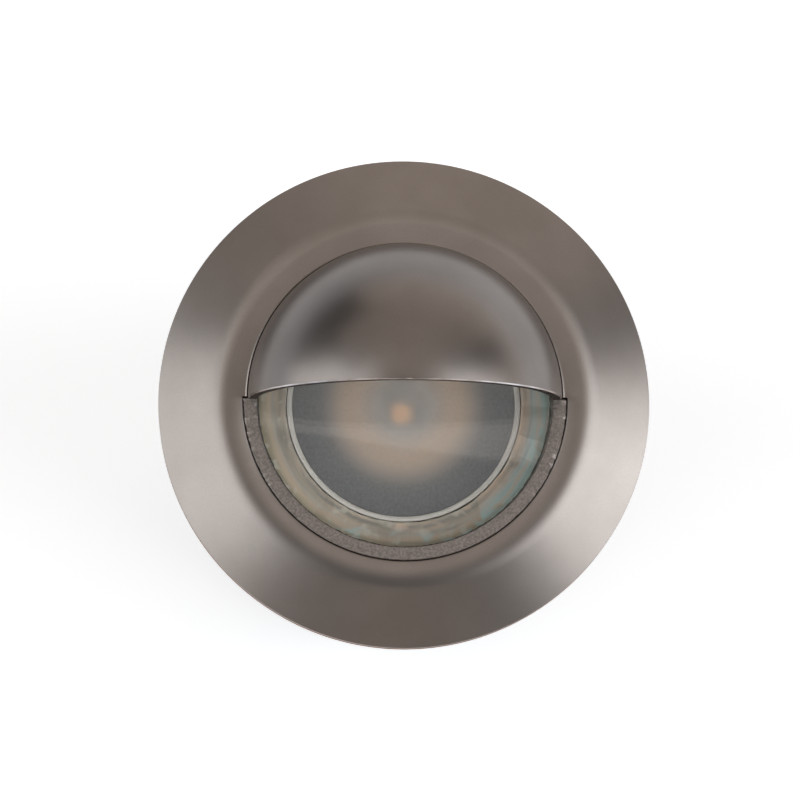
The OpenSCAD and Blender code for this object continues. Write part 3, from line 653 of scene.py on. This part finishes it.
def scoopHood():
    # a quarter ball with a bright lip, an unpolished cut face and a bright inside
    s = scoop
    bm = bmesh.new()
    outer = arc(0, s["lip"], s["hood"], 0, 90, s["hoodSteps"])
    inner = arc(0, s["lip"], s["bore"], 90, 0, s["hoodSteps"])
    halfTurn(upright(bm, outer + inner, 0), bm, 2 * s["hoodSteps"])
    centre = Vector((0, 0, s["lip"] * mm))
    outwards = (s["hood"] - s["edge"]) * mm
    coat, lip, cut, inside = range(4)
    for face in bm.faces:
        if all(abs(v.co.y) < hair for v in face.verts):
            face.material_index = cut
        elif face.normal.dot(face.calc_center_median() - centre) < 0:
            face.material_index = inside
        else:
            face.material_index = coat
    rim = [e for e in bm.edges if e.calc_face_angle(0) > s["sharp"]
           and all(abs(v.co.y) < hair and (v.co - centre).length > outwards for v in e.verts)]
    made = bmesh.ops.bevel(bm, geom=rim, offset=s["lipChamfer"] * mm, offset_type="OFFSET",
                           affect="EDGES", segments=1, profile=0.5, material=-1)
    for face in made["faces"]:
        face.material_index = lip
    hood = newPiece("scoopHood", bm, hoodCoat, "lamp", ["scoop_insert"])
    for material in (polished, cutFace, hoodInside):
        hood.data.materials.append(material)


scoopRing()
scoopHood()
print("scoop made")

# Glass and its silicone

touch = 0.03  # gap between the glass and the silicone on it

glass = {"radius": 24.9, "low": -1.7, "top": 3.3, "chamfer": 0.4}


def lensGlass():
    g = glass
    c = g["chamfer"]
    outline = [
        (0, g["low"]), (g["radius"] - c, g["low"]), (g["radius"], g["low"] + c),
        (g["radius"], g["top"] - c), (g["radius"] - c, g["top"]), (0, g["top"]),
    ]
    newPiece("lensGlass", turned(outline, closed=False), finishes["toughened_glass"], "lamp",
             ["lens_glass"])


bead = {
    "outer": 20.95, "width": 0.28, "height": 0.5, "steps": 480,
    "face": [(0.1, 0.42), (0.2, 0.24)],  # its slope's corners: in from the outer edge, up from the glass
    "foot": (0.04, 0.1),  # the same for its thin edge, but out from the inner edge
    "waves": [(2.1, 0.12), (0.5, 0.10)],  # length and reach of the wiped edge's waves
}


def edgeSealant():
    b = bead
    inner = b["outer"] - b["width"]
    z = glass["top"] + touch
    aside, up = b["foot"]
    slope = [(b["outer"] - inwards, z + rise) for inwards, rise in b["face"]]
    bm = turned([(inner, z), (b["outer"], z), (b["outer"], z + b["height"]),
                 *slope, (inner + aside, z + up)], b["steps"])
    for v in bm.verts:  # the bead was wiped by hand, so its inner edge wanders
        flat = Vector((v.co.x, v.co.y, 0))
        share = max(0.0, 1 - (flat.length / mm - inner) / b["width"])
        pull = sum(noise.noise(v.co / (length * mm)) * reach for length, reach in b["waves"])
        v.co += flat.normalized() * share * pull * mm
    newPiece("edgeSealant", bm, finishes["dark_sealant"], "lamp", ["edge_sealant"])


def siliconeBed():
    # squeezed out under the glass, a little way over the housing's shoulder
    b = bed
    top = glass["low"] - touch
    edge = [(b["mouth"] + aside, top - down) for aside, down in b["edge"]]
    bm = turned([(b["mouth"] + b["undercut"], b["low"]), (glass["radius"], b["low"]),
                 (glass["radius"], top), *edge], b["steps"])
    for v in bm.verts:
        flat = Vector((v.co.x, v.co.y, 0))
        if flat.length < (b["mouth"] + b["loose"]) * mm:
            v.co += flat.normalized() * abs(noise.noise(v.co / (b["wave"] * mm))) * b["wander"] * mm
    newPiece("siliconeBed", bm, finishes["pale_silicone"], "lamp", ["lower_gasket"])


lensGlass()
edgeSealant()
siliconeBed()
print("glass and silicone made")

# Optic

holder = {
    "outer": 16.55, "inner": 15.95, "board": -13.9, "rounding": 0.12,
    "top": -2.0, "mouth": 16.22, "lip": 16.7, "lipThick": 0.6,
    "ledge": 0.6, "ledgeThick": 0.6, "ledgeFoot": 1.2,  # the lens's rim sits on the ledge
}


def opticHolder():
    h = holder
    seat = lens["top"] - lens["rim"]
    reach = lens["radius"] - h["ledge"]
    underLip = h["top"] - h["lipThick"]
    outline = [
        (h["inner"], h["board"]), (h["outer"], h["board"]), (h["outer"], underLip), (h["lip"], underLip),
        (h["lip"], h["top"]), (h["mouth"], h["top"]), (h["inner"], disc["top"]), (h["inner"], seat),
        (reach, seat), (reach, seat - h["ledgeThick"]), (h["inner"], seat - h["ledgeFoot"]),
    ]
    newPiece("opticHolder", turned(outline), finishes["white_plastic"], "lamp",
             ["optic_holder"], h["rounding"])


def diffuserDisc():
    d = disc
    outline = [(0, d["low"]), (d["radius"], d["low"]), (d["radius"], d["top"]), (0, d["top"])]
    newPiece("diffuserDisc", turned(outline, closed=False), finishes["frosted_acrylic"], "lamp",
             ["diffuser_disc"], d["rounding"])


lens = {
    "radius": 15.9, "top": -2.8, "rim": 1.5, "low": -12.8, "foot": 5.4, "cup": 3.4, "cupHeight": 5.0,
    "flank": 15.0, "swell": 0.62, "steps": 16,  # the flank swells out from the foot to under the rim
}


def opticLens():
    n = lens
    underRim = n["top"] - n["rim"]
    tall = underRim - n["low"]
    out = n["flank"] - n["foot"]
    flank = [(n["foot"] + out * (i / n["steps"]) ** n["swell"], n["low"] + tall * i / n["steps"])
             for i in range(n["steps"] + 1)]
    ceiling = n["low"] + n["cupHeight"]
    outline = [(0, ceiling), (n["cup"], ceiling), (n["cup"], n["low"]), *flank,
               (n["radius"], underRim), (n["radius"], n["top"]), (0, n["top"])]
    newPiece("opticLens", turned(outline, closed=False), finishes["clear_acrylic"], "lamp",
             ["optic_lens"])


opticHolder()
diffuserDisc()
opticLens()
print("optic made")

# Light source

source = {
    "side": 3.5, "base": 0.8, "board": -13.9, "wall": 0.35, "well": 0.12, "rounding": 0.06,
    "dome": 1.4, "domeSteps": 10, "domeSides": 64,
}


def ledBase():
    s = source
    bm = bmesh.new()
    bmesh.ops.create_cube(bm, size=1)
    bmesh.ops.scale(bm, verts=bm.verts, vec=(s["side"] * mm, s["side"] * mm, s["base"] * mm))
    bmesh.ops.translate(bm, verts=bm.verts, vec=(0, 0, (s["board"] + s["base"] / 2) * mm))
    top = [f for f in bm.faces if f.normal.z > 0.9]
    bmesh.ops.inset_region(bm, faces=top, thickness=s["wall"] * mm, depth=0)
    bmesh.ops.translate(bm, verts=top[0].verts, vec=(0, 0, -s["well"] * mm))
    newPiece("ledBase", bm, finishes["white_board"], "lamp", ["led_package"], s["rounding"])


def ledDome():
    s = source
    low = s["board"] + s["base"] - s["well"]
    outline = [(0, low)] + arc(0, low, s["dome"], 0, 90, s["domeSteps"])[:-1] + [(0, low + s["dome"])]
    newPiece("ledDome", turned(outline, s["domeSides"], closed=False), finishes["phosphor"], "lamp",
             ["led_package"])


ledBase()
ledDome()
print("light source made")

# Pieces that keep their solid's shape but lose its sharp edges

# rounding of each solid's edges, in mm
softEdges = {
    "ground_sleeve": 0.3, "housing_body": 0.12, "bottom_cap": 0.2, "gland_body": 0.2, "gland_nut": 0.25,
    "led_board": 0.08, "driver_board": 0.08, "input_terminal": 0.15, "bridge_rectifier": 0.15,
    "driver_chip": 0.12, "power_inductor": 0.2,
}

# the mould's draft: the sleeve's outside narrows downwards
draft = {"top": -16.0, "low": -81.4, "inwards": 0.7, "outside": 27.5}


def addDraft(bm):
    for v in bm.verts:
        out = math.hypot(v.co.x, v.co.y)
        if out > draft["outside"] * mm and v.co.z < draft["top"] * mm:
            share = (draft["top"] * mm - v.co.z) / ((draft["top"] - draft["low"]) * mm)
            narrower = (out - draft["inwards"] * mm * share) / out
            v.co.x *= narrower
            v.co.y *= narrower


def softened(name, rounding):
    node = frame["nodes"][name]
    bm = bmesh.new()
    bm.from_mesh(node.data)
    bmesh.ops.transform(bm, verts=bm.verts, matrix=node.matrix_world)
    bmesh.ops.remove_doubles(bm, verts=bm.verts, dist=10 * hair)
    bmesh.ops.dissolve_limit(bm, angle_limit=math.radians(0.5), verts=bm.verts, edges=bm.edges)
    if name == "ground_sleeve":
        addDraft(bm)
    slot = next(p["material_slot"] for p in frame["record"]["subparts"] if p["node"] == name)
    body = "sleeve" if name == "ground_sleeve" else "lamp"
    first, *others = name.split("_")
    title = first + "".join(word.title() for word in others)
    newPiece(title, bm, finishes[slot], body, [name], rounding)


for name, rounding in softEdges.items():
    softened(name, rounding)
print("rounded pieces made:", len(softEdges))

# Studio

studio = {
    # the camera, and how wide a strip it sees at its target; lengths are in metres
    "target": (-0.00052, 0.00075, 0.0), "tilt": 0.134, "lean": 0.031, "distance": 0.717, "width": 0.11435,
    "sensor": 36,
    # the floor is lit to white as far as floorNear, and turns plain by floorFar
    "floor": 0.80, "floorFarTone": 0.75, "floorGlow": 0.53, "floorNear": 0.095, "floorFar": 0.24,
    "floorRadius": 4.0,
    # what the metal mirrors of the far floor, on the left and on the right: its tone and what it adds
    "floorSides": ((0.49, 0.545, 0.61), (0.74, 0.80, 0.86)), "floorShine": (0.0, 0.5), "sideReach": 0.8,
    # brightness of the room by elevation: 0 is straight down, 0.5 the horizon, 1 straight up
    "room": [(0.0, 0.45), (0.5, 0.70), (0.60, 0.52), (0.70, 0.42), (0.79, 0.40), (0.87, 0.41),
             (0.95, 0.48), (0.98, 0.66)],
    "roomColour": (1.06, 0.965, 0.90),
    "backGain": 0.22,  # how much brighter the room is behind the hood than in front
    "backdrop": 0.80,  # what the camera sees over the floor's edge
    "lampDistance": 1.2, "boardsBehind": 1.05,  # the boards stand this much farther out than the lamps
    # softboxes: azimuth from +X, elevation, width and height in degrees, brightness, colour
    "softboxes": {
        "softboxRight": (-12.5, 41, 42, 50, 2.38, (0.87, 0.94, 1.0)),
        "softboxLeft": (187.5, 31, 55, 70, 1.45, (0.86, 0.94, 1.0)),
    },
    # dark boards that the metal mirrors beside the softboxes: the same, with a grey tone
    "boards": {
        "boardRight": (27, 33, 17, 50, 0.02),
        "boardLeft": (137, 11, 48, 27, 0.02),
        "boardBackLeft": (150, 39, 9, 30, 0.02),
        "boardCamera": (262, 79, 30, 36, 0.02),
        "boardFrontRight": (307, 45, 18, 56, 0.02),
        "boardFrontLeft": (236, 56, 18, 34, 0.02),
    },
}


def facing(azimuth, elevation, distance):
    # a matrix that places a flat thing on a sphere round the lamp, facing its middle
    a, e = math.radians(azimuth), math.radians(elevation)
    spot = distance * Vector((math.cos(a) * math.cos(e), math.sin(a) * math.cos(e), math.sin(e)))
    return Matrix.Translation(spot) @ (-spot).to_track_quat("-Z", "Y").to_matrix().to_4x4()


def span(degrees, distance):
    return 2 * distance * math.tan(math.radians(degrees / 2))


def addSoftbox(name, azimuth, elevation, wide, high, level, colour):
    # level is the brightness that a mirror would show
    distance = studio["lampDistance"]
    lamp = bpy.data.lights.new(name, "AREA")
    lamp.shape = "RECTANGLE"
    lamp.size = span(wide, distance)
    lamp.size_y = span(high, distance)
    lamp.energy = level * math.pi * lamp.size * lamp.size_y
    lamp.color = colour
    softbox = bpy.data.objects.new(name, lamp)
    softbox.matrix_world = facing(azimuth, elevation, distance)
    softbox.visible_camera = False
    bpy.context.scene.collection.objects.link(softbox)


def addBoard(name, azimuth, elevation, wide, high, tone):
    distance = studio["lampDistance"] * studio["boardsBehind"]
    bm = bmesh.new()
    bmesh.ops.create_grid(bm, x_segments=1, y_segments=1, size=0.5)
    bmesh.ops.scale(bm, verts=bm.verts, vec=(span(wide, distance), span(high, distance), 1))
    bmesh.ops.transform(bm, verts=bm.verts, matrix=facing(azimuth, elevation, distance))
    mesh = bpy.data.meshes.new(name)
    bm.to_mesh(mesh)
    bm.free()
    mesh.materials.append(moulded(name, (tone, tone, tone), 0.9).material)
    board = bpy.data.objects.new(name, mesh)
    board.visible_camera = False
    bpy.context.scene.collection.objects.link(board)


def makeCamera():
    s = studio
    camera = bpy.data.cameras.new("camera")
    camera.sensor_width = s["sensor"]
    camera.lens = s["sensor"] * s["distance"] / s["width"]
    camera.clip_start = 0.01
    stand = bpy.data.objects.new("camera", camera)
    away = Vector((-s["lean"], -s["tilt"], 1)).normalized()
    side = Vector((0, 1, 0)).cross(away).normalized()
    turn = Matrix((side, away.cross(side), away)).transposed()
    stand.matrix_world = Matrix.Translation(Vector(s["target"]) + away * s["distance"]) @ turn.to_4x4()
    bpy.context.scene.collection.objects.link(stand)
    bpy.context.scene.camera = stand


def floorPaint():
    # white to the camera near the lamp; farther off, the metal mirrors another tone than the camera sees
    s = studio
    f = Finish("floor", (s["floor"],) * 3, 0.9)
    f.shader.inputs["Specular IOR Level"].default_value = 0.0
    reach = f.add("ShaderNodeMapRange", interpolation_type="SMOOTHSTEP")
    reach.inputs["From Min"].default_value = s["floorNear"] / mm
    reach.inputs["From Max"].default_value = s["floorFar"] / mm
    reach.inputs["To Min"].default_value = 1.0
    reach.inputs["To Max"].default_value = 0.0
    f.join(f.radius(), reach.inputs["Value"])
    near = reach.outputs["Result"]
    ray = f.add("ShaderNodeLightPath")
    sides = f.add("ShaderNodeSeparateXYZ")
    f.join(f.place, sides.inputs["Vector"])
    across = f.add("ShaderNodeMapRange")
    across.inputs["From Min"].default_value = -s["sideReach"]
    across.inputs["From Max"].default_value = s["sideReach"]
    f.join(sides.outputs["X"], across.inputs["Value"])
    mirrored = f.mix(across.outputs["Result"], *s["floorSides"])
    far = f.mix(ray.outputs["Is Camera Ray"], mirrored, (s["floorFarTone"],) * 3)
    f.colour(f.mix(near, far, (s["floor"],) * 3))
    seen = f.math("ADD", ray.outputs["Is Camera Ray"], ray.outputs["Is Glossy Ray"], clamp=True)
    seen = f.math("ADD", seen, ray.outputs["Is Transmission Ray"], clamp=True)
    f.shader.inputs["Emission Color"].default_value = (1, 1, 1, 1)
    glow = f.math("MULTIPLY", f.math("MULTIPLY", seen, near), s["floorGlow"])
    shine = f.math("MULTIPLY", f.math("SUBTRACT", 1.0, near), ray.outputs["Is Glossy Ray"])
    shine = f.math("MULTIPLY", shine, f.spread(across.outputs["Result"], *s["floorShine"]))
    f.join(f.math("ADD", glow, shine), f.shader.inputs["Emission Strength"])
    return f.material


def makeFloor():
    bm = bmesh.new()
    bmesh.ops.create_circle(bm, cap_ends=True, segments=96, radius=studio["floorRadius"])
    bmesh.ops.translate(bm, verts=bm.verts, vec=(0, 0, cadBox[0].z))
    mesh = bpy.data.meshes.new("floor")
    bm.to_mesh(mesh)
    bm.free()
    mesh.materials.append(floorPaint())
    floor = bpy.data.objects.new("floor", mesh)
    bpy.context.scene.collection.objects.link(floor)


def makeWorld():
    s = studio
    world = bpy.data.worlds.new("studio")
    bpy.context.scene.world = world
    world.use_nodes = True
    nodes, links = world.node_tree.nodes, world.node_tree.links

    def mapped(source, low, high):
        # maps -1..1 to low..high
        node = nodes.new("ShaderNodeMapRange")
        node.inputs["From Min"].default_value = -1
        node.inputs["To Min"].default_value = low
        node.inputs["To Max"].default_value = high
        links.new(source, node.inputs["Value"])
        return node.outputs["Result"]

    toward = nodes.new("ShaderNodeTexCoord")
    parts = nodes.new("ShaderNodeSeparateXYZ")
    links.new(toward.outputs["Generated"], parts.inputs["Vector"])
    rise = nodes.new("ShaderNodeValToRGB")
    elements = rise.color_ramp.elements
    while len(elements) < len(s["room"]):
        elements.new(0.5)
    for element, (position, level) in zip(elements, s["room"]):
        element.position = position
        element.color = (*(level * c for c in s["roomColour"]), 1)
    links.new(mapped(parts.outputs["Z"], 0, 1), rise.inputs["Fac"])
    links.new(rise.outputs["Color"], nodes["Background"].inputs["Color"])
    level = mapped(parts.outputs["Y"], 1 - s["backGain"], 1 + s["backGain"])
    links.new(level, nodes["Background"].inputs["Strength"])
    backdrop = nodes.new("ShaderNodeBackground")
    backdrop.inputs["Color"].default_value = (*(s["backdrop"],) * 3, 1)
    seen = nodes.new("ShaderNodeLightPath")
    either = nodes.new("ShaderNodeMixShader")
    links.new(seen.outputs["Is Camera Ray"], either.inputs["Fac"])
    links.new(nodes["Background"].outputs["Background"], either.inputs[1])
    links.new(backdrop.outputs["Background"], either.inputs[2])
    links.new(either.outputs["Shader"], nodes["World Output"].inputs["Surface"])


makeCamera()
makeFloor()
makeWorld()
for name, settings in studio["softboxes"].items():
    addSoftbox(name, *settings)
for name, settings in studio["boards"].items():
    addBoard(name, *settings)
bpy.context.scene.view_settings.view_transform = "Standard"
print("studio made")
